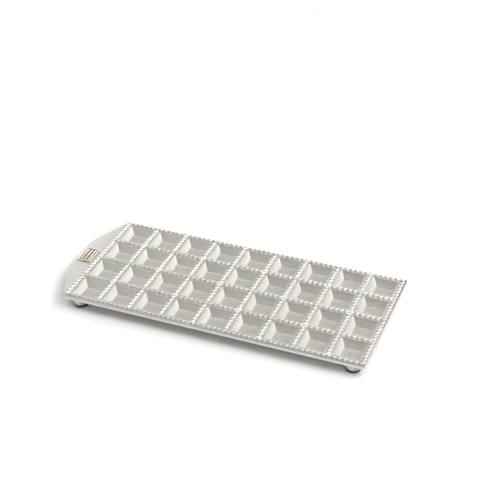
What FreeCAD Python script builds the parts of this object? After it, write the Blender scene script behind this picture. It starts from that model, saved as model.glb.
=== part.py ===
"""Ravioli mould: a cast tray of square tapered pockets between zigzag crested ribs.

The tray is one aluminium casting with a flat tab at its left end, four
rubber feet pressed into bosses under its corners, and a plain plate let
into the tab. X runs along the columns of pockets, Y across them and Z up.
The origin is under the middle of the whole mould, on the surface it stands on.
"""

import FreeCAD, Part
import math
import os

# Pocket grid
COLUMNS = 9
ROWS = 4
CELL_PITCH = 32.2
RIB_WIDTH = 7.6

# One pocket
POCKET_DEPTH = 7.4
WALL_DRAFT = 27.0
POCKET_CORNER_BEVEL = 1.1
POCKET_FLOOR_BEVEL = 0.6
SHELL_WALL = 2.0
BUMP_CORNER_BEVEL = 1.8

# Zigzag crests along the ribs
HALF_STEPS_PER_CELL = 13
CREST_HALF_WIDTH = 1.25
CREST_HEIGHT = 1.7

# Top web, rim and tab
WEB_THICKNESS = 2.6
RIM_OVERHANG = 2.9
RIM_DEPTH = 3.8
RIM_WALL = 2.2
RIM_CORNER_RADIUS = 3.0
RIM_EDGE_BEVEL = 0.3
TAB_REACH = 19.4
TAB_END_WIDTH = 49.6
TAB_CORNER_RADIUS = 40.0

# Feet and the bosses that hold them
FOOT_INSET_X = 13.2
FOOT_INSET_Y = 9.9
FOOT_RADIUS = 6.7
FOOT_SHOWING = 3.0
FOOT_EDGE_BEVEL = 0.5
FOOT_SEAT_DEPTH = 1.2
FOOT_SEAT_CLEARANCE = 0.1
BOSS_RADIUS = 7.4
BOSS_DRAFT = 10.0
BOSS_BELOW_POCKETS = 1.0

# Plain plate let into the tab
PLATE_LENGTH = 22.0
PLATE_WIDTH = 13.6
PLATE_CORNER_RADIUS = 1.6
PLATE_PROUD = 1.2
PLATE_SEAT_DEPTH = 0.5
PLATE_SEAT_CLEARANCE = 0.1
PLATE_EDGE_MARGIN = 3.2
PLATE_BORDER = 1.3
PLATE_FIELD_DEPTH = 0.8
PLATE_BARS = 3
PLATE_BAR_WIDTH = 1.7

# How far a cutting tool runs past the face that it opens
OVERCUT = 0.5

# How near an edge must lie to a height to count as being at it
AT_HEIGHT = 0.05

# Sizes that follow from the ones above
HALF_STEP = CELL_PITCH / HALF_STEPS_PER_CELL
CREST_SWING = HALF_STEP / 2.0
DRAFT_SLOPE = math.tan(math.radians(WALL_DRAFT))
WALL_ACROSS = SHELL_WALL / math.cos(math.radians(WALL_DRAFT))
OPENING_HALF = (CELL_PITCH - RIB_WIDTH) / 2.0
FLOOR_HALF = OPENING_HALF - POCKET_DEPTH * DRAFT_SLOPE

# Heights above the surface that the feet stand on
BOSS_FACE_Z = FOOT_SHOWING
BUMP_BOTTOM_Z = BOSS_FACE_Z + BOSS_BELOW_POCKETS
FLOOR_Z = BUMP_BOTTOM_Z + SHELL_WALL
RIB_Z = FLOOR_Z + POCKET_DEPTH
WEB_BOTTOM_Z = RIB_Z - WEB_THICKNESS
RIM_BOTTOM_Z = RIB_Z - RIM_DEPTH

# Plan positions of the grid of tooth lines and of the outline
GRID_CENTRE_X = TAB_REACH / 2.0
GRID_LEFT = GRID_CENTRE_X - COLUMNS * CELL_PITCH / 2.0
GRID_RIGHT = GRID_CENTRE_X + COLUMNS * CELL_PITCH / 2.0
GRID_FRONT = -ROWS * CELL_PITCH / 2.0
GRID_BACK = ROWS * CELL_PITCH / 2.0
RIM_LEFT = GRID_LEFT - RIM_OVERHANG
RIM_RIGHT = GRID_RIGHT + RIM_OVERHANG
RIM_FRONT = GRID_FRONT - RIM_OVERHANG
RIM_BACK = GRID_BACK + RIM_OVERHANG
TAB_END_X = RIM_LEFT - TAB_REACH


def rounded_outline(corners, z):
    """Closed wire through (x, y, radius) corners, each rounded by its own arc."""
    points = [FreeCAD.Vector(x, y, z) for x, y, _ in corners]
    count = len(points)
    starts, ends, middles = [], [], []
    for index, (_, _, radius) in enumerate(corners):
        here = points[index]
        back = (points[index - 1] - here).normalize()
        ahead = (points[(index + 1) % count] - here).normalize()
        half_angle = back.getAngle(ahead) / 2.0
        run = radius / math.tan(half_angle)
        bisector = (back + ahead).normalize()
        starts.append(here + back * run)
        ends.append(here + ahead * run)
        middles.append(here + bisector * (radius / math.sin(half_angle) - radius))
    edges = []
    for index in range(count):
        following = (index + 1) % count
        edges.append(Part.Arc(starts[index], middles[index], ends[index]).toShape())
        edges.append(Part.makeLine(ends[index], starts[following]))
    return Part.Wire(edges)


def prism(wire, height):
    """Solid between a flat wire and its copy raised by height."""
    return Part.Face(wire).extrude(FreeCAD.Vector(0, 0, height))


def mould_corners():
    """Corners of the rim and tab outline, seen from above, with their radii."""
    tab_half = TAB_END_WIDTH / 2.0
    return [
        (RIM_LEFT, RIM_FRONT, RIM_CORNER_RADIUS),
        (RIM_RIGHT, RIM_FRONT, RIM_CORNER_RADIUS),
        (RIM_RIGHT, RIM_BACK, RIM_CORNER_RADIUS),
        (RIM_LEFT, RIM_BACK, RIM_CORNER_RADIUS),
        (TAB_END_X, tab_half, TAB_CORNER_RADIUS),
        (TAB_END_X, -tab_half, TAB_CORNER_RADIUS),
    ]


def rectangle_corners(centre_x, centre_y, size_x, size_y, radius):
    """Corners of a rounded rectangle with one radius all round."""
    half_x, half_y = size_x / 2.0, size_y / 2.0
    signs = [(-1, -1), (1, -1), (1, 1), (-1, 1)]
    return [(centre_x + sx * half_x, centre_y + sy * half_y, radius) for sx, sy in signs]


def polyhedron(faces):
    """Solid bounded by flat faces, each given as a list of its points."""
    made = [Part.Face(Part.makePolygon(points + [points[0]])) for points in faces]
    return Part.makeSolid(Part.makeShell(made))


def square_ring(half, z, turned=False):
    """Four corners of a square about the origin, on its sides or on its points."""
    if turned:
        plan = [(half, 0), (0, half), (-half, 0), (0, -half)]
    else:
        plan = [(-half, -half), (half, -half), (half, half), (-half, half)]
    return [FreeCAD.Vector(x, y, z) for x, y in plan]


def frustum(bottom_half, bottom_z, top_z):
    """Square block that widens upwards at the wall draft."""
    top_half = bottom_half + (top_z - bottom_z) * DRAFT_SLOPE
    low = square_ring(bottom_half, bottom_z)
    high = square_ring(top_half, top_z)
    sides = [[low[i], low[(i + 1) % 4], high[(i + 1) % 4], high[i]] for i in range(4)]
    return polyhedron([low[::-1], high] + sides)


def corner_edges(block):
    """The four leaning edges of a square block."""
    return [e for e in block.Edges if e.BoundBox.ZLength > OVERCUT]


def cell_centres():
    """Middle of each pocket in plan."""
    for column in range(COLUMNS):
        for row in range(ROWS):
            x = GRID_LEFT + (column + 0.5) * CELL_PITCH
            y = GRID_FRONT + (row + 0.5) * CELL_PITCH
            yield x, y


def at_each_cell(shape):
    """A copy of the shape at the middle of each pocket."""
    return [shape.translated(FreeCAD.Vector(x, y, 0)) for x, y in cell_centres()]


def pocket_space():
    """The empty space of one pocket, bevelled inside and open past the rib tops."""
    space = frustum(FLOOR_HALF, FLOOR_Z, RIB_Z + OVERCUT)
    space = space.makeChamfer(POCKET_CORNER_BEVEL, corner_edges(space))
    foot = [e for e in space.Edges if e.BoundBox.ZMax < FLOOR_Z + AT_HEIGHT]
    return space.makeChamfer(POCKET_FLOOR_BEVEL, foot)


def pocket_bump():
    """The block under one pocket that leaves an even wall round its space."""
    bottom_half = FLOOR_HALF + WALL_ACROSS - SHELL_WALL * DRAFT_SLOPE
    bump = frustum(bottom_half, BUMP_BOTTOM_Z, WEB_BOTTOM_Z + OVERCUT)
    return bump.makeChamfer(BUMP_CORNER_BEVEL, corner_edges(bump))


def crest_plan(cells, first_side):
    """Plan of one crest, on its line at both ends and to either side in turn between."""
    steps = cells * HALF_STEPS_PER_CELL
    plan = [(0.0, 0.0)]
    for step in range(steps):
        side = first_side if step % 2 == 0 else -first_side
        plan.append(((step + 0.5) * HALF_STEP, side * CREST_SWING))
    plan.append((steps * HALF_STEP, 0.0))
    return plan


def crest_section(x, y):
    """Five corners of a crest's section at one of its bends, from its root over its top."""
    root_z, top_z = RIB_Z - OVERCUT, RIB_Z + CREST_HEIGHT
    low, high = y - CREST_HALF_WIDTH, y + CREST_HALF_WIDTH
    corners = [(low, root_z), (low, RIB_Z), (y, top_z), (high, RIB_Z), (high, root_z)]
    return [FreeCAD.Vector(x, across, z) for across, z in corners]


def crest(cells, first_side):
    """Zigzag bar of triangular section on a short root, along X from the origin."""
    sections = [crest_section(x, y) for x, y in crest_plan(cells, first_side)]
    faces = [sections[0], sections[-1][::-1]]
    for here, ahead in zip(sections, sections[1:]):
        for i in range(len(here)):
            following = (i + 1) % len(here)
            faces.append([here[i], ahead[i], ahead[following], here[following]])
    return polyhedron(faces)


def rib_crests():
    """The crest of every rib, with crests that cross leaning the same way there."""
    across = [crest(COLUMNS, side) for side in (-1, 1)]
    deep = [crest(ROWS, side) for side in (1, -1)]
    for one in deep:
        one.rotate(FreeCAD.Vector(0, 0, 0), FreeCAD.Vector(0, 0, 1), 90)
    made = []
    for line in range(ROWS + 1):
        place = FreeCAD.Vector(GRID_LEFT, GRID_FRONT + line * CELL_PITCH, 0)
        made.append(across[line % 2].translated(place))
    for line in range(COLUMNS + 1):
        place = FreeCAD.Vector(GRID_LEFT + line * CELL_PITCH, GRID_FRONT, 0)
        made.append(deep[line % 2].translated(place))
    return made


def foot_places():
    """Each foot's name and its centre, in from the corners of the rim."""
    for side, x in (("left", RIM_LEFT + FOOT_INSET_X), ("right", RIM_RIGHT - FOOT_INSET_X)):
        for end, y in (("front", RIM_FRONT + FOOT_INSET_Y), ("rear", RIM_BACK - FOOT_INSET_Y)):
            yield f"rubber_foot_{end}_{side}", FreeCAD.Vector(x, y, 0)


def boss():
    """Round boss from a foot's seat up into the web."""
    height = WEB_BOTTOM_Z + OVERCUT - BOSS_FACE_Z
    top_radius = BOSS_RADIUS + height * math.tan(math.radians(BOSS_DRAFT))
    return Part.makeCone(BOSS_RADIUS, top_radius, height, FreeCAD.Vector(0, 0, BOSS_FACE_Z))


def foot_seat():
    """Round recess in the face of a boss."""
    radius = FOOT_RADIUS + FOOT_SEAT_CLEARANCE
    base = FreeCAD.Vector(0, 0, BOSS_FACE_Z - OVERCUT)
    return Part.makeCylinder(radius, FOOT_SEAT_DEPTH + OVERCUT, base)


def rubber_foot():
    """Round pad that fills its seat and stands below the boss."""
    pad = Part.makeCylinder(FOOT_RADIUS, FOOT_SHOWING + FOOT_SEAT_DEPTH)
    lowest = [e for e in pad.Edges if e.BoundBox.ZMax < AT_HEIGHT]
    return pad.makeChamfer(FOOT_EDGE_BEVEL, lowest)


def plate_centre_x():
    """Middle of the plate along X, a margin in from the end of the tab."""
    return TAB_END_X + PLATE_EDGE_MARGIN + PLATE_WIDTH / 2.0


def plate_seat():
    """Shallow recess in the tab that the plate is let into."""
    grow = 2.0 * PLATE_SEAT_CLEARANCE
    corners = rectangle_corners(
        plate_centre_x(), 0.0, PLATE_WIDTH + grow, PLATE_LENGTH + grow,
        PLATE_CORNER_RADIUS + PLATE_SEAT_CLEARANCE)
    wire = rounded_outline(corners, RIB_Z - PLATE_SEAT_DEPTH)
    return prism(wire, PLATE_SEAT_DEPTH + OVERCUT)


def badge_plate():
    """Plain plate with a raised border round a sunk field of upright bars."""
    x = plate_centre_x()
    base_z = RIB_Z - PLATE_SEAT_DEPTH
    top_z = RIB_Z + PLATE_PROUD
    field_z = top_z - PLATE_FIELD_DEPTH
    outer = rectangle_corners(x, 0.0, PLATE_WIDTH, PLATE_LENGTH, PLATE_CORNER_RADIUS)
    plate = prism(rounded_outline(outer, base_z), top_z - base_z)
    field_x = PLATE_WIDTH - 2.0 * PLATE_BORDER
    field_y = PLATE_LENGTH - 2.0 * PLATE_BORDER
    inner = rectangle_corners(x, 0.0, field_x, field_y, PLATE_CORNER_RADIUS / 2.0)
    plate = plate.cut(prism(rounded_outline(inner, field_z), PLATE_FIELD_DEPTH + OVERCUT))
    bar_pitch = field_x / PLATE_BARS
    bar_length = field_y - 2.0 * PLATE_BORDER
    for index in range(PLATE_BARS):
        bar_x = x + (index - (PLATE_BARS - 1) / 2.0) * bar_pitch
        bar = rectangle_corners(bar_x, 0.0, PLATE_BAR_WIDTH, bar_length, PLATE_BAR_WIDTH / 4.0)
        plate = plate.fuse(prism(rounded_outline(bar, field_z - OVERCUT), top_z - field_z + OVERCUT))
    return plate.removeSplitter()


def top_web():
    """Flat top of the mould, rim and tab in one, with its upper edge broken."""
    slab = prism(rounded_outline(mould_corners(), WEB_BOTTOM_Z), WEB_THICKNESS)
    upper = [e for e in slab.Edges if e.BoundBox.ZMin > RIB_Z - AT_HEIGHT]
    return slab.makeChamfer(RIM_EDGE_BEVEL, upper)


def rim_lip():
    """Downturned lip under the whole outline."""
    outline = Part.Face(rounded_outline(mould_corners(), RIM_BOTTOM_Z))
    inside = outline.makeOffset2D(-RIM_WALL, join=2)
    ring = outline.cut(inside)
    return ring.extrude(FreeCAD.Vector(0, 0, WEB_BOTTOM_Z - RIM_BOTTOM_Z))


def tray_casting():
    """The whole casting: web, rim, bumps and bosses, less pockets and seats, plus crests."""
    bosses = [boss().translated(place) for _, place in foot_places()]
    solid = top_web().multiFuse([rim_lip()] + at_each_cell(pocket_bump()) + bosses)
    seats = [foot_seat().translated(place) for _, place in foot_places()]
    solid = solid.cut(at_each_cell(pocket_space()) + seats + [plate_seat()])
    solid = solid.multiFuse(rib_crests())
    return solid.removeSplitter()


def write(name, shape):
    """Save one piece and say what it is."""
    solids = shape.Solids
    piece = solids[0] if len(solids) == 1 else shape
    print(name, "solids", len(solids), "faces", len(piece.Faces),
          "valid", piece.isValid(), "volume", round(piece.Volume, 1))
    piece.exportStep(os.path.join("parts", name + ".step"))


def main():
    os.makedirs("parts", exist_ok=True)
    write("tray_casting", tray_casting())
    write("badge_plate", badge_plate())
    for name, place in foot_places():
        write(name, rubber_foot().translated(place))


main()
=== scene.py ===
"""Ravioli mould: finishes, rounded edges and studio for the CAD model.

Sizes are in millimetres and in the CAD frame: X runs along the mould away from
the tab, Y runs from the front to the back, Z is up from the table. Meshes are
turned to metres when they are written. The studio's places and sizes, and the
noise and grain of the finishes, are in metres.
"""

import logging
import math
from dataclasses import dataclass, field
from enum import Enum

import bpy
import numpy as np
from mathutils import Matrix


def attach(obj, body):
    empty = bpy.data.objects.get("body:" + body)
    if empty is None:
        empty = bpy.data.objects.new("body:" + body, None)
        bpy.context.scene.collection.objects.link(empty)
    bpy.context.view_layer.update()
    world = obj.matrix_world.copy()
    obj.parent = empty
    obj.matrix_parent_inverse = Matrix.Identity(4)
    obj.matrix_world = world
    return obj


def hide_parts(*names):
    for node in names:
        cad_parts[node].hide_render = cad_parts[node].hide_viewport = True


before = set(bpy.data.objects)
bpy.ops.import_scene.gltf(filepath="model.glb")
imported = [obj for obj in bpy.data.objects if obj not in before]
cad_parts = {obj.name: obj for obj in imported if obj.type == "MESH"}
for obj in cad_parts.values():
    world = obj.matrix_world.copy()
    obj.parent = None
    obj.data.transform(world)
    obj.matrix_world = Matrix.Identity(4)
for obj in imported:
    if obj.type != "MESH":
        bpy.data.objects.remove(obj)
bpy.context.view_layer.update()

METRES = 0.001
ROOT_BODY = "root"
WHITE = (1.0, 1.0, 1.0, 1.0)
ARC_CHORDS = 4
SMALL_ARC_CHORDS = 3
SMALLEST_RADIUS = 0.02
DECIMALS = 9
WELD_CELLS = 1000
WELD_SHIFT = 0.2371
KEY_BITS = 21
SQUARE = np.array([[-1.0, -1.0], [1.0, -1.0], [1.0, 1.0], [-1.0, 1.0]])
Pair = tuple[float, float]
Colour = tuple[float, ...]
Mesh = tuple[np.ndarray, np.ndarray]

log = logging.getLogger("ravioli mould")


# The layout


@dataclass(frozen=True)
class MouldLayout:
    """Sizes that the pieces and their finishes share."""

    columns: int = 9
    rows: int = 4
    pitch: float = 32.2
    half_steps_per_cell: int = 13
    grid_centre_x: float = 9.7
    overhang: float = 2.9
    tab_reach: float = 19.4
    rib_z: float = 13.4
    foot_inset_x: float = 13.2
    foot_inset_y: float = 9.9

    @property
    def half_step(self) -> float:
        """Half of a zigzag's length."""
        return self.pitch / self.half_steps_per_cell

    @property
    def grid_half(self) -> Pair:
        """Half sizes of the grid of ribs, between its outer crest lines."""
        return self.columns * self.pitch / 2, self.rows * self.pitch / 2

    @property
    def rim_left(self) -> float:
        """The rim's left end, where the tab starts."""
        return self.grid_centre_x - self.grid_half[0] - self.overhang

    @property
    def rim_right(self) -> float:
        """The rim's right end."""
        return self.grid_centre_x + self.grid_half[0] + self.overhang

    @property
    def rim_back(self) -> float:
        """The rim's back."""
        return self.grid_half[1] + self.overhang

    def cell_places(self) -> np.ndarray:
        """The middle of each pocket.

        Returns:
            One point for each pocket, at height 0.
        """
        x = self.grid_centre_x + (np.arange(self.columns) - (self.columns - 1) / 2) * self.pitch
        y = (np.arange(self.rows) - (self.rows - 1) / 2) * self.pitch
        across, deep = np.meshgrid(x, y, indexing="ij")
        return np.stack([across, deep, np.zeros_like(across)], axis=-1).reshape(-1, 3)

    def foot_places(self) -> dict[str, np.ndarray]:
        """The middle of each foot.

        Returns:
            The points on the table, by the feet's places under the mould.
        """
        y = self.rim_back - self.foot_inset_y
        ends = {"front": -y, "rear": y}
        sides = {
            "left": self.rim_left + self.foot_inset_x,
            "right": self.rim_right - self.foot_inset_x,
        }
        return {
            f"{end}_{side}": np.array([sides[side], ends[end], 0.0])
            for side in sides
            for end in ends
        }


# Shader nodes


@dataclass(frozen=True)
class Signal:
    """An output socket that plain arithmetic builds Math nodes on."""

    sheet: "NodeSheet"
    socket: bpy.types.NodeSocket

    def __add__(self, other: "Signal | float") -> "Signal":
        """This plus other."""
        return self.sheet.maths("ADD", self, other)

    def __sub__(self, other: "Signal | float") -> "Signal":
        """This less other."""
        return self.sheet.maths("SUBTRACT", self, other)

    def __rsub__(self, other: float) -> "Signal":
        """Other less this."""
        return self.sheet.maths("SUBTRACT", other, self)

    def __mul__(self, other: "Signal | float") -> "Signal":
        """This times other."""
        return self.sheet.maths("MULTIPLY", self, other)

    __radd__ = __add__
    __rmul__ = __mul__

    def size(self) -> "Signal":
        """This without its sign."""
        return self.sheet.maths("ABSOLUTE", self)

    def step(self, low: float, high: float) -> "Signal":
        """A smooth rise from 0 at low to 1 at high.

        Args:
            low: the value where the rise starts.
            high: the value where it ends, which may be below low for a fall.

        Returns:
            The risen value, held between 0 and 1.
        """
        span = {"Value": self, "From Min": low, "From Max": high}
        made = self.sheet.node("ShaderNodeMapRange", span, interpolation_type="SMOOTHSTEP")
        return Signal(self.sheet, made.outputs["Result"])


@dataclass(frozen=True)
class NodeSheet:
    """The node tree of a material or of the world, which nodes are put on."""

    tree: bpy.types.NodeTree

    def __post_init__(self) -> None:
        """Empties the tree."""
        self.tree.nodes.clear()

    def node(
        self, kind: str, sockets: dict[str | int, object] | None = None, **settings: object
    ) -> bpy.types.Node:
        """Puts one node on the sheet.

        Args:
            kind: the node's type name.
            sockets: values, or signals and sockets to link, by input name or place.
            settings: the node's own settings, set before its sockets.

        Returns:
            The new node.
        """
        made = self.tree.nodes.new(kind)
        for name, value in settings.items():
            setattr(made, name, value)
        for name, value in (sockets or {}).items():
            self.feed(made.inputs[name], value)
        return made

    def feed(self, target: bpy.types.NodeSocket, value: object) -> None:
        """Links a signal or socket to an input, or sets the input's own value.

        Args:
            target: the input socket.
            value: a signal, a socket, a number or a tuple.
        """
        if isinstance(value, Signal):
            value = value.socket
        if isinstance(value, bpy.types.NodeSocket):
            self.tree.links.new(value, target)
        else:
            target.default_value = value

    def maths(self, operation: str, *terms: "Signal | float") -> Signal:
        """One Math node over numbers and signals, its inputs in order."""
        made = self.node("ShaderNodeMath", dict(enumerate(terms)), operation=operation)
        return Signal(self, made.outputs[0])

    def place(self) -> bpy.types.NodeSocket:
        """The surface point's Object coordinates."""
        return self.node("ShaderNodeTexCoord").outputs["Object"]

    def noise(self, scale: float, detail: float) -> Signal:
        """Cloudy noise about a half, its scale in cells a metre and its detail in octaves."""
        pattern = {"Vector": self.place(), "Scale": scale, "Detail": detail}
        return Signal(self, self.node("ShaderNodeTexNoise", pattern).outputs["Fac"])

    def along(self, axis: str) -> Signal:
        """The surface point's own X, Y or Z in millimetres."""
        split = self.node("ShaderNodeSeparateXYZ", {0: self.place()})
        return Signal(self, split.outputs[axis]) * (1 / METRES)

    def camera_ray(self) -> Signal:
        """One where the camera looks straight at the point, otherwise zero."""
        return Signal(self, self.node("ShaderNodeLightPath").outputs["Is Camera Ray"])

    def mixed(self, share: Signal, first: Colour | Signal, second: Colour) -> Signal:
        """A colour between two, with a share of 0 for the first and 1 for the second."""
        colours = {"Factor": share, 6: first, 7: second}
        return Signal(self, self.node("ShaderNodeMix", colours, data_type="RGBA").outputs[2])

    def bumped(self, height: Signal, distance: float, strength: float) -> Signal:
        """A surface direction tilted by a pattern whose value of 1 is distance metres high."""
        relief = {"Height": height, "Distance": distance, "Strength": strength}
        return Signal(self, self.node("ShaderNodeBump", relief).outputs["Normal"])


# Finishes


@dataclass(frozen=True)
class Finish:
    """A surface finish, which has the name of the material slot that it dresses."""

    slot: str

    def material(self) -> bpy.types.Material:
        """Makes the finish's material.

        Returns:
            The new material.
        """
        made = bpy.data.materials.new(self.slot)
        made.use_nodes = True
        sheet = NodeSheet(made.node_tree)
        shader = self.shader(sheet)
        sheet.node("ShaderNodeOutputMaterial", {"Surface": shader.outputs[0]})
        return made

    def shader(self, sheet: NodeSheet) -> bpy.types.Node:
        """Puts the finish's nodes on the sheet and returns the shader's node."""
        raise NotImplementedError


@dataclass(frozen=True)
class CastAluminium(Finish):
    """Satin casting in pale warm grey, finely specked, with painted light and shade in its tones:
    painted highlights on its crests and side, pocket walls painted lighter than the flats, and
    floors painted darker than the walls.
    """

    slot: str = "cast_aluminium"
    layout: MouldLayout = MouldLayout()
    # Painted highlight: near white on the crests and on the low sides outside the grid, such as the
    # rim's side, standing in for glints.
    crests: Colour = (0.98, 0.955, 0.925, 1.0)
    flats: Colour = (0.69, 0.67, 0.64, 1.0)
    # Painted light: the pocket walls are lighter than the flats, as if lit.
    pockets: Colour = (0.785, 0.763, 0.732, 1.0)
    # Painted shade: the pocket floors are darker than the walls.
    floors: Colour = (0.70, 0.678, 0.645, 1.0)
    specks: Colour = (0.40, 0.385, 0.365, 1.0)
    speck_share: float = 0.14
    speck_start: float = 0.62
    speck_full: float = 0.38
    cloud_share: float = 0.3
    grid_fade: float = 1.0
    floor_height: float = 6.2
    wall_height: float = 7.4
    pocket_height: float = 11.5
    flat_height: float = 13.3
    crest_foot: float = 13.6
    crest_top: float = 14.7
    metallic: float = 0.8
    roughness: float = 0.42
    pocket_roughness: float = 0.08
    roughness_swing: float = 0.16
    cloud_scale: float = 60.0
    cloud_detail: float = 3.0
    grain_scale: float = 900.0
    grain_detail: float = 2.0
    grain_depth: float = 0.00006
    grain_strength: float = 0.45

    def shader(self, sheet: NodeSheet) -> bpy.types.Node:
        """Builds the casting's nodes.

        Args:
            sheet: the material's node sheet.

        Returns:
            The shader's node.
        """
        clouds = sheet.noise(self.cloud_scale, self.cloud_detail)
        grain = sheet.noise(self.grain_scale, self.grain_detail)
        half_x, half_y = self.layout.grid_half
        height = sheet.along("Z")
        low = height.step(self.flat_height, self.pocket_height)
        across = (sheet.along("X") - self.layout.grid_centre_x).size()
        inside = across.step(half_x + self.grid_fade, half_x)
        inside = inside * sheet.along("Y").size().step(half_y + self.grid_fade, half_y)
        # Mask of the painted highlight: the crests' upper part, and the low sides of rim and tab
        # outside the grid.
        wear_and_highlight = height.step(self.crest_foot, self.crest_top) + low * (1.0 - inside)
        mottle = clouds * self.cloud_share + grain * (1.0 - self.cloud_share)
        specked = mottle.step(self.speck_start, self.speck_full) * self.speck_share
        sunk = low * inside
        # Painted light on the pocket walls.
        colour = sheet.mixed(sunk, self.flats, self.pockets)
        # Painted shade on the pocket floors.
        floor = inside * height.step(self.wall_height, self.floor_height)
        colour = sheet.mixed(floor, colour, self.floors)
        # Painted highlight on the crests and the rim's side.
        colour = sheet.mixed(wear_and_highlight, colour, self.crests)
        roughness = self.roughness + sunk * self.pocket_roughness
        return sheet.node(
            "ShaderNodeBsdfPrincipled",
            {
                "Base Color": sheet.mixed(specked, colour, self.specks),
                "Metallic": self.metallic,
                "Roughness": roughness + (grain - 0.5) * self.roughness_swing,
                "Normal": sheet.bumped(grain, self.grain_depth, self.grain_strength),
            },
        )


@dataclass(frozen=True)
class PaleGilt(Finish):
    """Polished pale gilt metal, painted dark in its sunk field as patina and painted shade."""

    slot: str = "pale_gilt_metal"
    bright: Colour = (0.98, 0.92, 0.81, 1.0)
    # Dark tone of the sunk field: patina and painted shade in the recess.
    patina_and_shade: Colour = (0.27, 0.21, 0.15, 1.0)
    field_height: float = 13.85
    border_height: float = 14.35
    metallic: float = 0.85
    roughness: float = 0.3
    roughness_swing: float = 0.08
    scratch_scale: float = 700.0
    scratch_detail: float = 4.0
    scratch_depth: float = 0.00004
    scratch_strength: float = 0.2

    def shader(self, sheet: NodeSheet) -> bpy.types.Node:
        """Builds the plate's nodes.

        Args:
            sheet: the material's node sheet.

        Returns:
            The shader's node.
        """
        top = sheet.along("Z").step(self.field_height, self.border_height)
        scratches = sheet.noise(self.scratch_scale, self.scratch_detail)
        return sheet.node(
            "ShaderNodeBsdfPrincipled",
            {
                # The sunk field is painted dark, as patina and painted shade; the raised border and
                # bars keep the bright gilt.
                "Base Color": sheet.mixed(top, self.patina_and_shade, self.bright),
                "Metallic": self.metallic,
                "Roughness": self.roughness + scratches * self.roughness_swing,
                "Normal": sheet.bumped(scratches, self.scratch_depth, self.scratch_strength),
            },
        )


@dataclass(frozen=True)
class BlackRubber(Finish):
    """Matt black rubber with a faint moulded grain."""

    slot: str = "black_rubber"
    black: Colour = (0.012, 0.012, 0.013, 1.0)
    wear_and_highlight: Colour = (0.03, 0.03, 0.031, 1.0)
    roughness: float = 0.62
    roughness_swing: float = 0.15
    grain_scale: float = 1500.0
    grain_detail: float = 3.0
    grain_depth: float = 0.00003
    grain_strength: float = 0.3

    def shader(self, sheet: NodeSheet) -> bpy.types.Node:
        """Builds the rubber's nodes.

        Args:
            sheet: the material's node sheet.

        Returns:
            The shader's node.
        """
        grain = sheet.noise(self.grain_scale, self.grain_detail)
        return sheet.node(
            "ShaderNodeBsdfPrincipled",
            {
                "Base Color": sheet.mixed(grain, self.black, self.wear_and_highlight),
                "Roughness": self.roughness + grain * self.roughness_swing,
                "Normal": sheet.bumped(grain, self.grain_depth, self.grain_strength),
            },
        )


@dataclass(frozen=True)
class WhiteFloor(Finish):
    """White floor that throws less light back than the camera sees.

    The camera sees it plain white away from the lamps' reach.
    """

    slot: str = "white_floor"
    bounce: Colour = (0.72, 0.72, 0.72, 1.0)
    lit_reach: float = 300.0
    plain_reach: float = 700.0

    def shader(self, sheet: NodeSheet) -> bpy.types.Node:
        """Builds the floor's nodes.

        Args:
            sheet: the material's node sheet.

        Returns:
            The shader's node.
        """
        seen = sheet.camera_ray()
        colour = sheet.mixed(seen, self.bounce, WHITE)
        lit = sheet.node("ShaderNodeBsdfDiffuse", {"Color": colour})
        plain = sheet.node("ShaderNodeEmission", {"Color": WHITE})
        x, y = sheet.along("X"), sheet.along("Y")
        away = (x * x + y * y).step(self.lit_reach**2, self.plain_reach**2)
        blend = {0: seen * away, 1: lit.outputs[0], 2: plain.outputs[0]}
        return sheet.node("ShaderNodeMixShader", blend)


# Meshes


class Facing(Enum):
    """The way that a flat ring's faces look."""

    UP = "up"
    DOWN = "down"


def loft(loops: np.ndarray) -> Mesh:
    """Skins closed loops of equal counts, each joined to the one after it.

    Every loop runs anticlockwise seen from above. Faces look outwards where the
    loops climb an outer side, and upwards where each loop lies inside the one
    before it.

    Args:
        loops: points, as levels by points by three.

    Returns:
        The points and the triangles.
    """
    levels, count = loops.shape[:2]
    here = np.arange(levels * count).reshape(levels, count)
    ahead = np.roll(here, -1, axis=1)
    low, low_ahead, high_ahead, high = here[:-1], ahead[:-1], ahead[1:], here[1:]
    first = np.stack([low, low_ahead, high_ahead], axis=-1)
    second = np.stack([low, high_ahead, high], axis=-1)
    triangles = np.concatenate([first.reshape(-1, 3), second.reshape(-1, 3)])
    return loops.reshape(-1, 3), triangles


def turns(loop: np.ndarray, centre: Pair, half: Pair) -> np.ndarray:
    """How far round a box each point of a loop lies, from 0 at the box's low corner.

    A point is pushed straight out from the centre onto the box, and the value is
    the share of the way round, a quarter for each side.

    Args:
        loop: points in plan, two or more numbers each.
        centre: the box's middle.
        half: the box's half sizes.

    Returns:
        One number from 0 up to 1 for each point.
    """
    plan = (loop[:, :2] - np.array(centre)) / np.array(half)
    plan = plan / np.abs(plan).max(axis=1, keepdims=True)
    x, y = np.round(plan, DECIMALS).T
    sides = [(y == -1) & (x < 1), (x == 1) & (y < 1), (y == 1) & (x > -1), x == -1]
    ways = [(x + 1) / 8, (y + 3) / 8, (5 - x) / 8, (7 - y) / 8]
    return np.select(sides, ways) % 1.0


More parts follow.
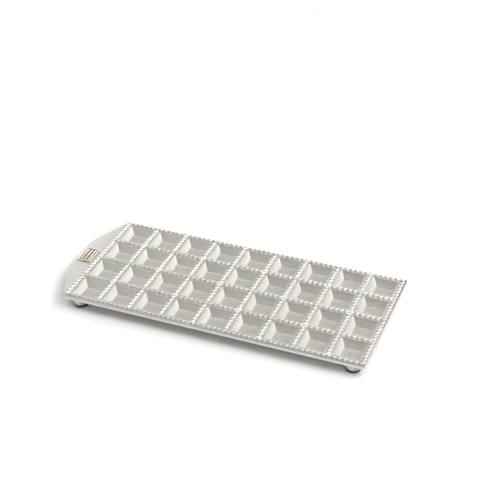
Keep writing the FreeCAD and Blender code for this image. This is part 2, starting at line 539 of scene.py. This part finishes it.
def zipped(outer: np.ndarray, inner: np.ndarray, centre: Pair, half: Pair, facing: Facing) -> Mesh:
    """Joins two closed loops of any counts with one ring of triangles.

    Both loops are walked round together. Each edge of one loop makes a triangle
    with the point that the walk on the other loop has reached by then.

    Args:
        outer: the outer loop, anticlockwise seen from above.
        inner: the inner loop, the same way round.
        centre: the middle that both are measured about.
        half: half sizes of the box that shares out the way round.
        facing: the way that the faces look.

    Returns:
        The points and the triangles.
    """
    rings, ends = [], []
    for loop in (outer, inner):
        way = turns(loop, centre, half)
        first = int(np.argmin(way))
        way = np.roll(way, -first)
        rings.append(np.roll(loop, -first, axis=0))
        ends.append(np.append(way[1:], 1.0 + way[0]))
    count_out, count_in = len(outer), len(inner)
    out = np.arange(count_out)
    reached_in = np.searchsorted(ends[1], ends[0], side="left") % count_in
    from_outer = np.stack([out, (out + 1) % count_out, count_out + reached_in], axis=-1)
    inn = np.arange(count_in)
    reached_out = np.searchsorted(ends[0], ends[1], side="right") % count_out
    from_inner = np.stack([count_out + (inn + 1) % count_in, count_out + inn, reached_out], -1)
    triangles = np.concatenate([from_outer, from_inner])
    if facing is Facing.DOWN:
        triangles = triangles[:, ::-1]
    return np.concatenate(rings), triangles


def fan(loop: np.ndarray, facing: Facing) -> Mesh:
    """Closes a loop with triangles to its middle.

    Args:
        loop: points, anticlockwise seen from above.
        facing: the way that the faces look.

    Returns:
        The points and the triangles.
    """
    count = len(loop)
    here = np.arange(count)
    triangles = np.stack([here, (here + 1) % count, np.full(count, count)], axis=-1)
    if facing is Facing.DOWN:
        triangles = triangles[:, ::-1]
    return np.vstack([loop, loop.mean(axis=0)]), triangles


def closed(loops: np.ndarray) -> list[Mesh]:
    """Skins closed loops and closes both ends, the first to look down, the last up."""
    return [loft(loops), fan(loops[0], Facing.DOWN), fan(loops[-1], Facing.UP)]


def flat_square(half: float | np.ndarray, height: float) -> np.ndarray:
    """Four corners at one height of a square, or of a rectangle with two half sizes."""
    return np.column_stack([SQUARE * half, np.full(4, height)])


def swapped(patch: Mesh) -> Mesh:
    """A patch with X and Y exchanged, turned so that it still faces outwards."""
    points, triangles = patch
    return points[:, [1, 0, 2]], triangles[:, ::-1]


def arc(
    corner: Pair, before: Pair, after: Pair, radius: float, steps: int = ARC_CHORDS
) -> np.ndarray:
    """Points that round a profile's corner.

    The arc touches both straight runs. Its middle lies on the line that halves
    the corner, radius over the sine of the half angle from it.

    Args:
        corner: the sharp corner, as size and height.
        before: any point on the run that comes in.
        after: any point on the run that goes out.
        radius: the rounding.
        steps: chords along the arc.

    Returns:
        The arc's points, one row each.
    """
    here, back, ahead = (np.array(point, float) for point in (corner, before, after))
    back = (back - here) / np.linalg.norm(back - here)
    ahead = (ahead - here) / np.linalg.norm(ahead - here)
    half_angle = math.acos(float(np.clip(back @ ahead, -1, 1))) / 2
    middle_way = (back + ahead) / np.linalg.norm(back + ahead)
    middle = here + middle_way * radius / math.sin(half_angle)
    start = here + back * radius / math.tan(half_angle) - middle
    end = here + ahead * radius / math.tan(half_angle) - middle
    turn = math.pi - 2 * half_angle
    share = np.linspace(0, 1, steps + 1)[:, None]
    swept = np.sin((1 - share) * turn) * start + np.sin(share * turn) * end
    return middle + swept / math.sin(turn)


def rounded_loops(
    corners: np.ndarray, radii: np.ndarray, profile: np.ndarray, steps: int
) -> np.ndarray:
    """Copies of a rounded outline, each drawn in by its own inset.

    A corner moves along the line that halves it by the inset over the sine of the
    half angle, and its radius shrinks by the inset.

    Args:
        corners: the sharp corners, anticlockwise, two numbers each.
        radii: each corner's radius.
        profile: each loop's inset and height.
        steps: chords round each corner.

    Returns:
        Points, as loops by points by three.
    """
    insets, heights = profile.T
    back = np.roll(corners, 1, axis=0) - corners
    back /= np.linalg.norm(back, axis=1, keepdims=True)
    ahead = np.roll(corners, -1, axis=0) - corners
    ahead /= np.linalg.norm(ahead, axis=1, keepdims=True)
    half_angle = np.arccos(np.clip((back * ahead).sum(axis=1), -1, 1)) / 2
    middle_way = (back + ahead) / np.linalg.norm(back + ahead, axis=1, keepdims=True)
    moved = corners + middle_way * (insets[:, None, None] / np.sin(half_angle)[:, None])
    radius = np.maximum(radii - insets[:, None], SMALLEST_RADIUS)[..., None]
    centre = moved + middle_way * radius / np.sin(half_angle)[:, None]
    start = moved + back * radius / np.tan(half_angle)[:, None] - centre
    across = np.stack([-start[..., 1], start[..., 0]], axis=-1)
    turn = (math.pi - 2 * half_angle)[:, None] * np.linspace(0, 1, steps + 1)
    sweep = np.cos(turn)[None, ..., None] * start[:, :, None, :]
    sweep = sweep + np.sin(turn)[None, ..., None] * across[:, :, None, :]
    plan = (centre[:, :, None, :] + sweep).reshape(len(insets), -1, 2)
    level = np.broadcast_to(heights[:, None, None], plan.shape[:2] + (1,))
    return np.concatenate([plan, level], axis=-1)


def square_loops(profile: np.ndarray, radius: np.ndarray, steps: int) -> np.ndarray:
    """Rounded squares about the origin, each with its own size, radius and height.

    Args:
        profile: each square's half size and height.
        radius: each square's corner radius.
        steps: chords round each corner.

    Returns:
        Points, as squares by points by three, from the low corner's middle on.
    """
    half, heights = profile.T
    turn = np.linspace(0, 0.5 * math.pi, steps + 1)
    quarter = np.arange(4)[:, None] * 0.5 * math.pi
    angle = turn[None, :] + quarter + math.pi
    middle = SQUARE[None, :, None, :] * (half - radius)[:, None, None, None]
    around = np.stack([np.cos(angle), np.sin(angle)], axis=-1)
    plan = middle + around[None] * radius[:, None, None, None]
    plan = plan.reshape(len(half), -1, 2)
    level = np.broadcast_to(heights[:, None, None], plan.shape[:2] + (1,))
    return np.concatenate([plan, level], axis=-1)


def turned_loops(profile: np.ndarray, count: int) -> np.ndarray:
    """Rings about the Z axis through a profile of radius and height.

    Args:
        profile: radius and height rows.
        count: points round each ring.

    Returns:
        Points, as rings by points by three.
    """
    angle = np.linspace(0, 2 * math.pi, count, endpoint=False)
    x = profile[:, :1] * np.cos(angle)
    y = profile[:, :1] * np.sin(angle)
    return np.stack([x, y, np.broadcast_to(profile[:, 1:], x.shape)], axis=-1)


def shown(name: str, data: bpy.types.ID) -> bpy.types.Object:
    """Makes an object and puts it in the scene.

    Args:
        name: the object's name.
        data: its mesh, lamp or camera.

    Returns:
        The new object.
    """
    made = bpy.data.objects.new(name, data)
    bpy.context.scene.collection.objects.link(made)
    return made


@dataclass
class Patchwork:
    """Patches of one piece, welded where their points meet."""

    points: list[np.ndarray] = field(default_factory=list)
    triangles: list[np.ndarray] = field(default_factory=list)
    count: int = 0

    def add(self, *patches: Mesh, places: np.ndarray | None = None) -> None:
        """Adds patches once, or once at each of several places.

        Args:
            patches: the points and triangles of each.
            places: offsets, three numbers each.
        """
        if places is None:
            places = np.zeros((1, 3))
        for points, triangles in patches:
            shift = np.arange(len(places))[:, None, None] * len(points)
            self.triangles.append((triangles[None] + shift + self.count).reshape(-1, 3))
            self.points.append((points[None] + places[:, None, :]).reshape(-1, 3))
            self.count += len(points) * len(places)

    def welded(self) -> Mesh:
        """Joins points that lie within a thousandth of a millimetre.

        Each point's three cell numbers are packed into one key. The cells are
        shifted, so that no round size lies between two of them.

        Returns:
            The points that are used and the triangles that have an area.
        """
        points = np.concatenate(self.points)
        cells = np.round(points * WELD_CELLS + WELD_SHIFT).astype(np.int64)
        x, y, z = cells.T + (1 << (KEY_BITS - 1))
        keys = (x << (2 * KEY_BITS)) | (y << KEY_BITS) | z
        _, first, same = np.unique(keys, return_index=True, return_inverse=True)
        triangles = same[np.concatenate(self.triangles)]
        whole = (triangles != np.roll(triangles, 1, axis=1)).all(axis=1)
        used, triangles = np.unique(triangles[whole], return_inverse=True)
        return points[first][used], triangles.reshape(-1, 3)

    def piece(self, name: str, finish: Finish, node: str, sharp: float) -> bpy.types.Object:
        """Writes the patches as one object that stands for a CAD node.

        Args:
            name: the object's name.
            finish: the finish it is dressed in.
            node: the CAD node that it replaces.
            sharp: the angle in degrees above which an edge stays sharp.

        Returns:
            The new object.
        """
        points, triangles = self.welded()
        mesh = bpy.data.meshes.new(name)
        mesh.vertices.add(len(points))
        mesh.vertices.foreach_set("co", (points * METRES).astype(np.float32).ravel())
        mesh.loops.add(triangles.size)
        mesh.loops.foreach_set("vertex_index", triangles.astype(np.int32).ravel())
        mesh.polygons.add(len(triangles))
        starts = np.arange(0, triangles.size, 3, dtype=np.int32)
        mesh.polygons.foreach_set("loop_start", starts)
        mesh.update(calc_edges=True)
        mesh.validate()
        mesh.shade_smooth()
        mesh.set_sharp_from_angle(angle=math.radians(sharp))
        mesh.materials.append(finish.material())
        made = shown(name, mesh)
        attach(made, ROOT_BODY)
        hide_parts(node)
        log.info("%s: %d points, %d triangles", name, len(points), len(triangles))
        return made


# The mould


@dataclass(frozen=True)
class TrayCasting:
    """The casting: ribs with zigzag crests, tapered pockets, rim, tab, bumps and bosses."""

    layout: MouldLayout = MouldLayout()
    work: Patchwork = field(default_factory=Patchwork)
    crest_height: float = 1.7
    crest_half_width: float = 1.25
    crest_rounding: float = 0.12
    crest_root: float = 0.3
    crest_shrink: float = 0.99
    bend_rounding: float = 0.22
    opening_half: float = 12.3
    opening_corner: float = 1.3
    opening_rounding: float = 0.5
    opening_flat: float = 0.25
    floor_z: float = 6.0
    floor_corner: float = 0.9
    floor_rounding: float = 0.35
    floor_flat: float = 0.35
    draft: float = 27.0
    bump_z: float = 4.0
    bump_half: float = 9.7556
    bump_corner: float = 2.6
    bump_rounding: float = 1.0
    bump_flat: float = 0.4
    web_z: float = 10.8
    rim_z: float = 9.6
    rim_wall: float = 2.2
    rim_corner: float = 3.0
    rim_rounding: float = 0.5
    lip_rounding: float = 0.4
    tab_half: float = 24.8
    tab_corner: float = 40.0
    boss_z: float = 3.0
    boss_radius: float = 7.4
    boss_draft: float = 10.0
    boss_rounding: float = 0.4
    boss_overlap: float = 0.8
    seat_radius: float = 6.8
    seat_depth: float = 1.2
    lid_shares: tuple[float, ...] = (1.0, 0.85, 0.7, 0.55, 0.4, 0.25, 0.0)
    cell_box: tuple[Pair, Pair] = ((0.0, 0.0), (1.0, 1.0))
    corner_steps: int = 8
    outline_steps: int = 16
    boss_points: int = 48
    sharp_angle: float = 32.0

    @property
    def slope(self) -> float:
        """How much a drafted wall widens for each millimetre of height."""
        return math.tan(math.radians(self.draft))

    def crest_line(self, cells: int, first_side: float) -> np.ndarray:
        """Plan of one crest from end to end, swinging to either side of its rib's line.

        It runs at 45 degrees, bends a quarter of a zigzag out from the line, and
        crosses the line halfway between two bends. Each bend is cut off by two
        short chords.

        Args:
            cells: pockets along the rib.
            first_side: 1 or -1, the side of the first bend.

        Returns:
            Places along the rib and off its line, one row each.
        """
        step = self.layout.half_step
        count = cells * self.layout.half_steps_per_cell
        bend = (np.arange(count) + 0.5) * step
        side = first_side * (1 - 2 * (np.arange(count) % 2))
        along = bend[:, None] + np.array([-1.0, 0.0, 1.0]) * self.bend_rounding
        swing = step / 2 - np.array([1.0, 0.5, 1.0]) * self.bend_rounding
        off = side[:, None] * swing
        plan = np.column_stack([along.ravel(), off.ravel()])
        return np.vstack([(0.0, 0.0), plan, (count * step, 0.0)])

    def crest(self, cells: int, first_side: float, scale: float) -> list[Mesh]:
        """One rib's crest along X from the origin, closed at both ends.

        Its profile has place off the crest's line against height: up a flank,
        over the rounded top and down the other flank into the rib.

        Args:
            cells: pockets along the rib.
            first_side: 1 or -1, the side of the first bend.
            scale: the profile's size against the full one.

        Returns:
            The skin and the two ends.
        """
        half, high = self.crest_half_width * scale, self.crest_height * scale
        rib = self.layout.rib_z
        left, right, top = (half, rib), (-half, rib), (0.0, rib + high)
        over = arc(top, left, right, self.crest_rounding, SMALL_ARC_CHORDS)
        over[:, 1] += rib + high - over[:, 1].max()
        root = rib - self.crest_root
        profile = np.vstack([(half, root), left, over, right, (-half, root)])
        line = self.crest_line(cells, first_side)
        off = line[:, 1:] + profile[:, 0]
        along = np.broadcast_to(line[:, :1], off.shape)
        loops = np.stack([along, off, np.broadcast_to(profile[:, 1], off.shape)], axis=-1)
        return closed(loops)

    def add_crests(self) -> None:
        """Adds the crest of every rib.

        Crests that cross run along each other there, so those along Y are a hair
        smaller and no two skins lie in one plane.
        """
        layout = self.layout
        corner = np.array([layout.grid_centre_x, 0.0, 0.0]) - (*layout.grid_half, 0.0)
        for parity, side in enumerate((-1.0, 1.0)):
            rows = np.arange(parity, layout.rows + 1, 2)[:, None] * (0.0, layout.pitch, 0.0)
            columns = np.arange(parity, layout.columns + 1, 2)[:, None] * (layout.pitch, 0.0, 0.0)
            self.work.add(*self.crest(layout.columns, side, 1.0), places=corner + rows)
            crossing = self.crest(layout.rows, side, self.crest_shrink)
            self.work.add(*map(swapped, crossing), places=corner + columns)

    def strip_lines(self, cells: int) -> np.ndarray:
        """Both edges of the flat strip along each rib line, in half steps from the first line."""
        lines = np.arange(cells + 1) * self.layout.half_steps_per_cell
        return (lines[:, None] + np.array([-1, 1])).ravel()

    def flat_ribs(self) -> Mesh:
        """The flat strip under every crest, one half step to each side of its line.

        Returns:
            The points and the triangles.
        """
        layout = self.layout
        lines = [self.strip_lines(count) for count in (layout.columns, layout.rows)]
        across, deep = np.meshgrid(*lines, indexing="ij")
        half_x, half_y = layout.grid_half
        points = np.stack(
            [
                layout.grid_centre_x - half_x + across * layout.half_step,
                deep * layout.half_step - half_y,
                np.full(across.shape, layout.rib_z),
            ],
            axis=-1,
        ).reshape(-1, 3)
        index = np.arange(across.size).reshape(across.shape)
        on_rib = [np.arange(len(places) - 1) % 2 == 0 for places in lines]
        kept = on_rib[0][:, None] | on_rib[1][None, :]
        a, b = index[:-1, :-1][kept], index[1:, :-1][kept]
        c, d = index[1:, 1:][kept], index[:-1, 1:][kept]
        return points, np.concatenate([np.stack([a, b, c], -1), np.stack([a, c, d], -1)])

    def pocket_loops(self) -> np.ndarray:
        """Loops from the rib's flat over the rounded edge, down the wall and onto the floor.

        The profile has half size against height. The corner radius shrinks evenly
        from the opening to the floor.

        Returns:
            Points, as loops by points by three.
        """
        rib, floor = self.layout.rib_z, self.floor_z
        floor_half = self.opening_half - (rib - floor) * self.slope
        edge = (self.opening_half, rib)
        foot = (floor_half, floor)
        over = arc(edge, (edge[0] + 1, rib), foot, self.opening_rounding)
        under = arc(foot, edge, (floor_half - 1, floor), self.floor_rounding)
        flat_start = over[0] + (self.opening_flat, 0.0)
        flat_end = under[-1] - (self.floor_flat, 0.0)
        profile = np.vstack([flat_start, over, under, flat_end])
        share = (profile[:, 0] - floor_half) / (self.opening_half - floor_half)
        radius = self.floor_corner + share * (self.opening_corner - self.floor_corner)
        return square_loops(profile, radius, self.corner_steps)

    def add_pockets(self) -> None:
        """Adds every pocket, from the flat strips' edges down to its floor."""
        layout = self.layout
        half = layout.pitch / 2 - layout.half_step
        loops = self.pocket_loops()
        edge = zipped(flat_square(half, layout.rib_z), loops[0], *self.cell_box, Facing.UP)
        floor = fan(loops[-1], Facing.UP)
        self.work.add(edge, loft(loops), floor, places=layout.cell_places())

    def add_bumps(self) -> None:
        """Adds the block under every pocket, out to the corners of its cell."""
        half = self.layout.pitch / 2
        top_half = self.bump_half + (self.web_z - self.bump_z) * self.slope
        low, high = (self.bump_half, self.bump_z), (top_half, self.web_z)
        under = arc(low, (low[0] - 1, low[1]), high, self.bump_rounding)
        join = arc(high, low, (top_half + 1, self.web_z), self.bump_rounding)
        profile = np.vstack([under[0] - (self.bump_flat, 0.0), under, join])
        radius = np.full(len(profile), self.bump_corner)
        loops = square_loops(profile, radius, self.corner_steps)
        web = zipped(flat_square(half, self.web_z), loops[-1], *self.cell_box, Facing.DOWN)
        bottom = fan(loops[0], Facing.DOWN)
        self.work.add(bottom, loft(loops), web, places=self.layout.cell_places())

    def outline(self) -> tuple[np.ndarray, np.ndarray]:
        """The rim and tab seen from above.

        Returns:
            The sharp corners, anticlockwise, and each one's radius.
        """
        left, right, back = self.layout.rim_left, self.layout.rim_right, self.layout.rim_back
        end, tab_back = left - self.layout.tab_reach, self.tab_half
        rim = [(left, -back), (right, -back), (right, back), (left, back)]
        tab = [(end, tab_back), (end, -tab_back)]
        radii = np.repeat([self.rim_corner, self.tab_corner], [len(rim), len(tab)])
        return np.array(rim + tab), radii

    def rim_loops(self) -> np.ndarray:
        """Loops round the lip: down its inside, under it, up its side and over its edge.

        The profile has inset against height.

        Returns:
            Points, as loops by points by three.
        """
        rib, wall = self.layout.rib_z, self.rim_wall
        root, inner = (wall, self.web_z), (wall, self.rim_z)
        outer, edge = (0.0, self.rim_z), (0.0, rib)
        small = (self.lip_rounding, SMALL_ARC_CHORDS)
        profile = np.vstack(
            [
                arc(root, (wall + 1, self.web_z), inner, *small),
                arc(inner, root, outer, *small),
                arc(outer, inner, edge, *small),
                arc(edge, outer, (1.0, rib), self.rim_rounding),
            ]
        )
        return rounded_loops(*self.outline(), profile, self.outline_steps)

    def add_rim(self) -> None:
        """Adds the rim and tab, joined to the flat strips above and the bumps below."""
        layout = self.layout
        half, centre = layout.grid_half, (layout.grid_centre_x, 0.0)
        strip = flat_square(np.array(half) + layout.half_step, layout.rib_z) + (*centre, 0.0)
        x = np.arange(layout.columns + 1) * layout.pitch - half[0] + centre[0]
        y = np.arange(layout.rows + 1) * layout.pitch - half[1]
        sides = [(x[:-1], y[0]), (x[-1], y[:-1]), (x[:0:-1], y[-1]), (x[0], y[:0:-1])]
        under = [np.column_stack(np.broadcast_arrays(*side, self.web_z)) for side in sides]
        loops = self.rim_loops()
        self.work.add(
            zipped(loops[-1], strip, centre, half, Facing.UP),
            loft(loops),
            zipped(loops[0], np.vstack(under), centre, half, Facing.DOWN),
        )

    def underside(self, points: np.ndarray) -> np.ndarray:
        """Height of the casting's underside over points in plan.

        A bump's side rises at the draft with the larger of the distances along X
        and Y from its middle, between the bump's bottom and the web.

        Args:
            points: places in plan.

        Returns:
            The heights.
        """
        plan = points[..., :2] - np.array([self.layout.grid_centre_x, 0.0])
        plan = plan + np.array(self.layout.grid_half)
        inside = plan / self.layout.pitch
        count = np.array([self.layout.columns, self.layout.rows])
        cell = np.clip(np.floor(inside), 0, count - 1)
        off = np.abs(inside - cell - 0.5).max(axis=-1) * self.layout.pitch
        height = self.bump_z + (off - self.bump_half) / self.slope
        return np.clip(height, self.bump_z, self.web_z)

    def add_bosses(self) -> None:
        """Adds a closed boss over each foot, whose top is hidden inside the casting.

        The top has rings at shares of its radius, all a little above the
        casting's underside. The first ring lies on the boss's drafted side.
        """
        face, seat = self.boss_z, self.boss_z + self.seat_depth
        lean = math.tan(math.radians(self.boss_draft))
        top_z = self.web_z + self.boss_overlap
        top_radius = self.boss_radius + (top_z - face) * lean
        low = (self.boss_radius, face)
        profile = np.vstack(
            [
                (0.0, seat),
                (self.seat_radius, seat),
                (self.seat_radius, face),
                arc(low, (self.seat_radius, face), (top_radius, top_z), self.boss_rounding),
            ]
        )
        lower = turned_loops(profile, self.boss_points)
        level = np.column_stack([self.lid_shares, np.zeros(len(self.lid_shares))])
        unit = turned_loops(level, self.boss_points)
        for place in self.layout.foot_places().values():
            lid = unit * top_radius + place
            lid[..., 2] = self.underside(lid) + self.boss_overlap
            side_radius = self.boss_radius + (lid[0, :, 2:] - face) * lean
            lid[0, :, :2] = unit[0, :, :2] * side_radius + place[:2]
            self.work.add(loft(np.concatenate([lower + place, lid])))

    def build(self) -> bpy.types.Object:
        """Builds the casting and dresses it.

        Returns:
            The casting's object.
        """
        self.work.add(self.flat_ribs())
        self.add_crests()
        self.add_pockets()
        self.add_bumps()
        self.add_rim()
        self.add_bosses()
        finish = CastAluminium(layout=self.layout)
        return self.work.piece("mould_casting", finish, "tray_casting", self.sharp_angle)


@dataclass(frozen=True)
class BadgePlate:
    """The plain plate on the tab: raised border, sunk field and upright bars."""

    layout: MouldLayout = MouldLayout()
    width: float = 13.6
    length: float = 22.0
    corner: float = 1.6
    bottom_z: float = 12.9
    bottom_bevel: float = 0.2
    top_z: float = 14.6
    edge_margin: float = 3.2
    edge_rounding: float = 0.28
    border: float = 1.3
    field_depth: float = 0.8
    field_rounding: float = 0.14
    field_flat: float = 0.6
    bars: int = 3
    bar_width: float = 1.7
    bar_corner: float = 0.425
    bar_root: float = 0.3
    corner_steps: int = 6
    sharp_angle: float = 40.0

    def block(self, centre_x: float, size: Pair, corner: float, profile: np.ndarray) -> list[Mesh]:
        """A closed block on the plate's middle line, from a profile of inset and height."""
        corners = SQUARE * np.array(size) / 2 + (centre_x, 0.0)
        return closed(rounded_loops(corners, np.full(4, corner), profile, self.corner_steps))

    def build(self) -> bpy.types.Object:
        """Builds the plate and dresses it.

        The plate's profile has inset against height: up the side, over the border
        and down to the field. A bar's profile goes up its side and over its top.
        The bars share out the field's width and keep a border's width from its ends.

        Returns:
            The plate's object.
        """
        left = self.layout.rim_left - self.layout.tab_reach + self.edge_margin
        centre_x = left + self.width / 2
        bottom, top, border = self.bottom_z, self.top_z, self.border
        field_z = top - self.field_depth
        edge, inner, foot = (0.0, top), (border, top), (border, field_z)
        over = arc(edge, (0.0, bottom), inner, self.edge_rounding)
        profile = np.vstack(
            [
                (self.bottom_bevel, bottom),
                (0.0, bottom + self.bottom_bevel),
                over,
                arc(inner, edge, foot, self.edge_rounding),
                arc(foot, inner, (border + 1, field_z), self.field_rounding),
                (border + self.field_flat, field_z),
            ]
        )
        bar_profile = np.vstack([(0.0, field_z - self.bar_root), over])
        bar_size = (self.bar_width, self.length - 4 * border)
        bar = self.block(centre_x, bar_size, self.bar_corner, bar_profile)
        shift = (np.arange(self.bars) - (self.bars - 1) / 2) * (self.width - 2 * border) / self.bars
        work = Patchwork()
        work.add(*self.block(centre_x, (self.width, self.length), self.corner, profile))
        work.add(*bar, places=shift[:, None] * (1.0, 0.0, 0.0))
        return work.piece("plain_badge", PaleGilt(), "badge_plate", self.sharp_angle)


@dataclass(frozen=True)
class RubberFeet:
    """The four round pads that the mould stands on."""

    layout: MouldLayout = MouldLayout()
    radius: float = 6.7
    height: float = 4.2
    lower_rounding: float = 0.9
    upper_rounding: float = 0.15
    points: int = 64
    sharp_angle: float = 40.0

    def build(self) -> list[bpy.types.Object]:
        """Builds the pads and dresses them.

        The profile has radius against height: along the table, round the lower
        edge, up the side and in to the middle of the top.

        Returns:
            The pads' objects.
        """
        low, high = (self.radius, 0.0), (self.radius, self.height)
        profile = np.vstack(
            [
                (0.0, 0.0),
                arc(low, (0.0, 0.0), high, self.lower_rounding),
                arc(high, low, (0.0, self.height), self.upper_rounding, SMALL_ARC_CHORDS),
                (0.0, self.height),
            ]
        )
        pad = loft(turned_loops(profile, self.points))
        made = []
        for spot, place in self.layout.foot_places().items():
            work = Patchwork()
            work.add(pad, places=place[None])
            name, node = f"pad_{spot}", f"rubber_foot_{spot}"
            made.append(work.piece(name, BlackRubber(), node, self.sharp_angle))
        return made


# The studio


def heading(bearing: float, climb: float) -> np.ndarray:
    """A direction of length 1.

    Args:
        bearing: degrees from X towards Y.
        climb: degrees up from the level.

    Returns:
        The direction.
    """
    turn, rise = math.radians(bearing), math.radians(climb)
    level = np.array([math.cos(turn), math.sin(turn)]) * math.cos(rise)
    return np.append(level, math.sin(rise))


def aimed(place: np.ndarray, forward: np.ndarray, roll: float) -> Matrix:
    """A pose at a place that looks forward, with its right side level before the roll.

    Args:
        place: the position in metres.
        forward: the direction of sight.
        roll: the turn of the right side upwards, in radians.

    Returns:
        The pose's matrix.
    """
    forward = forward / np.linalg.norm(forward)
    right = np.cross(forward, (0.0, 0.0, 1.0))
    right = right / np.linalg.norm(right)
    up = np.cross(right, forward)
    rolled_right = math.cos(roll) * right + math.sin(roll) * up
    rolled_up = math.cos(roll) * up - math.sin(roll) * right
    pose = np.eye(4)
    pose[:3, :3] = np.stack([rolled_right, rolled_up, -forward], axis=1)
    pose[:3, 3] = place
    return Matrix(pose.tolist())


@dataclass(frozen=True)
class SoftLamp:
    """A square soft lamp that looks at the middle of the mould, from its bearing and climb."""

    name: str
    bearing: float
    climb: float
    power: float
    distance: float = 1.6
    size: float = 1.0

    def build(self) -> None:
        """Hangs the lamp."""
        data = bpy.data.lights.new(self.name, "AREA")
        data.shape = "SQUARE"
        data.size = self.size
        data.energy = self.power
        place = self.distance * heading(self.bearing, self.climb)
        shown(self.name, data).matrix_world = aimed(place, -place, 0.0)


@dataclass(frozen=True)
class Studio:
    """White floor, white surroundings, soft lamps and the camera."""

    floor_half: float = 6.0
    floor_z: float = -0.0001
    world_strength: float = 0.01
    camera_place: tuple[float, float, float] = (0.354674, -0.770378, 0.630100)
    camera_bearing: float = 113.144
    camera_climb: float = -34.237
    camera_roll: float = -1.677
    lens: float = 79.9476
    sensor: float = 36.0
    clip_start: float = 0.01
    clip_end: float = 50.0
    lamps: tuple[SoftLamp, ...] = (
        SoftLamp("right_high", 0.0, 65.0, 8.9),
        SoftLamp("right_middle", 0.0, 40.0, 3.6),
        SoftLamp("right_small", 0.0, 18.0, 1.2, size=0.3),
        SoftLamp("right_rear", 45.0, 40.0, 10.8),
        SoftLamp("rear_low", 90.0, 15.0, 9.1),
        SoftLamp("left_rear_low", 135.0, 15.0, 6.0),
        SoftLamp("left_high", 180.0, 65.0, 7.5),
        SoftLamp("left_middle", 180.0, 40.0, 1.8),
        SoftLamp("left_front_low", 225.0, 15.0, 3.5),
        SoftLamp("right_front", 315.0, 40.0, 2.2),
        SoftLamp("right_front_low", 335.0, 30.0, 4.7),
    )

    def build(self) -> None:
        """Sets up the floor, the world, the lamps and the camera."""
        self.add_floor()
        self.light_world()
        for lamp in self.lamps:
            lamp.build()
        self.add_camera()
        bpy.context.scene.view_settings.view_transform = "Standard"

    def add_floor(self) -> None:
        """Lays the white floor just under the table's level."""
        mesh = bpy.data.meshes.new("floor")
        mesh.from_pydata(flat_square(self.floor_half, self.floor_z).tolist(), [], [(0, 1, 2, 3)])
        mesh.materials.append(WhiteFloor().material())
        floor = shown("floor", mesh)

    def light_world(self) -> None:
        """Surrounds the object with a dim white, which the camera alone sees at full white."""
        world = bpy.data.worlds.new("studio")
        world.use_nodes = True
        sheet = NodeSheet(world.node_tree)
        strength = self.world_strength + sheet.camera_ray() * (1.0 - self.world_strength)
        sky = {"Color": WHITE, "Strength": strength}
        shader = sheet.node("ShaderNodeBackground", sky)
        sheet.node("ShaderNodeOutputWorld", {"Surface": shader.outputs[0]})
        bpy.context.scene.world = world

    def add_camera(self) -> None:
        """Places the camera at the photograph's view."""
        data = bpy.data.cameras.new("view")
        data.lens, data.sensor_width = self.lens, self.sensor
        data.clip_start, data.clip_end = self.clip_start, self.clip_end
        camera = shown("view", data)
        forward = heading(self.camera_bearing, self.camera_climb)
        roll = math.radians(self.camera_roll)
        camera.matrix_world = aimed(np.array(self.camera_place), forward, roll)
        bpy.context.scene.camera = camera


def main() -> None:
    """Builds every piece and the studio."""
    logging.basicConfig(level=logging.INFO, format="%(name)s: %(message)s")
    layout = MouldLayout()
    TrayCasting(layout).build()
    BadgePlate(layout).build()
    RubberFeet(layout).build()
    Studio().build()
    log.info("boxes written")


if __name__ == "__main__":
    main()
